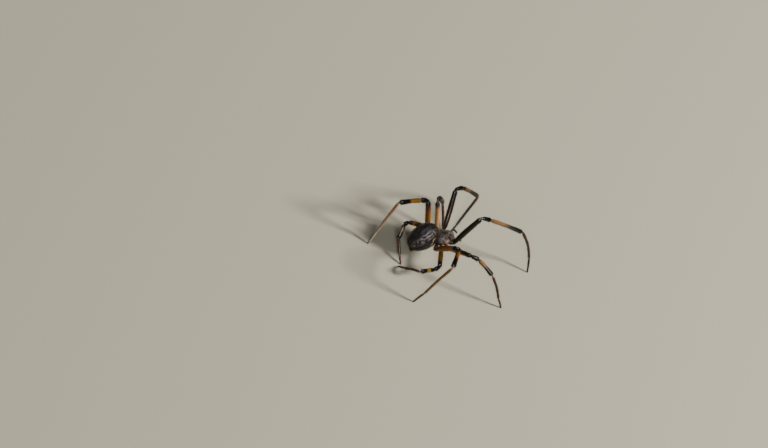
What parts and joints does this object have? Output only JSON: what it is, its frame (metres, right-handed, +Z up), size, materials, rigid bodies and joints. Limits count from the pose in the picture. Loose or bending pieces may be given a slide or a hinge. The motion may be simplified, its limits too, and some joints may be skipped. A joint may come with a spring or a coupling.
{
  "type": "black widow spider",
  "caption": "Young female black widow spider with banded orange and black legs, standing with her knees raised and her round abdomen lifted.",
  "frame": {"origin": "on the floor, under the middle of the box that the legs span", "axes": "+X the way the spider faces, +Y to its left, +Z up"},
  "size_m": [0.0344, 0.0268, 0.012],
  "materials": {
    "carapace": "brown-grey shield with short pale hairs",
    "sternum": "dark brown, satin",
    "jaw": "dark brown, glossy",
    "palp": "dark brown, paler between its joints",
    "abdomen": "brown-black and shiny, with faint pale lines and a red hourglass below",
    "spinneret": "dark brown",
    "coxa": "dark reddish brown",
    "femur": "orange, dark at the knee end",
    "patella": "near black and shiny",
    "tibia": "orange with a near black end",
    "metatarsus": "brown, with fine dark hairs",
    "tarsus": "dark brown, with fine dark hairs",
    "eye": "glassy black",
    "claw": "black horn, glossy"
  },
  "bodies": {
    "root": {"carapace": "carapace", "sternum": "sternum", "chelicera_left": "jaw", "palp_left": "palp", "chelicera_right": "jaw", "palp_right": "palp", "pedicel": "sternum", "abdomen": "abdomen", "spinnerets": "spinneret", "leg_left_1_coxa": "coxa", "leg_left_1_femur": "femur", "leg_left_1_patella": "patella", "leg_left_1_tibia": "tibia", "leg_left_1_metatarsus": "metatarsus", "leg_left_1_tarsus": "tarsus", "leg_right_1_coxa": "coxa", "leg_right_1_femur": "femur", "leg_right_1_patella": "patella", "leg_right_1_tibia": "tibia", "leg_right_1_metatarsus": "metatarsus", "leg_right_1_tarsus": "tarsus", "leg_left_2_coxa": "coxa", "leg_left_2_femur": "femur", "leg_left_2_patella": "patella", "leg_left_2_tibia": "tibia", "leg_left_2_metatarsus": "metatarsus", "leg_left_2_tarsus": "tarsus", "leg_right_2_coxa": "coxa", "leg_right_2_femur": "femur", "leg_right_2_patella": "patella", "leg_right_2_tibia": "tibia", "leg_right_2_metatarsus": "metatarsus", "leg_right_2_tarsus": "tarsus", "leg_left_3_coxa": "coxa", "leg_left_3_femur": "femur", "leg_left_3_patella": "patella", "leg_left_3_tibia": "tibia", "leg_left_3_metatarsus": "metatarsus", "leg_left_3_tarsus": "tarsus", "leg_right_3_coxa": "coxa", "leg_right_3_femur": "femur", "leg_right_3_patella": "patella", "leg_right_3_tibia": "tibia", "leg_right_3_metatarsus": "metatarsus", "leg_right_3_tarsus": "tarsus", "leg_left_4_coxa": "coxa", "leg_left_4_femur": "femur", "leg_left_4_patella": "patella", "leg_left_4_tibia": "tibia", "leg_left_4_metatarsus": "metatarsus", "leg_left_4_tarsus": "tarsus", "leg_right_4_coxa": "coxa", "leg_right_4_femur": "femur", "leg_right_4_patella": "patella", "leg_right_4_tibia": "tibia", "leg_right_4_metatarsus": "metatarsus", "leg_right_4_tarsus": "tarsus"}
  },
  "joints": []
}
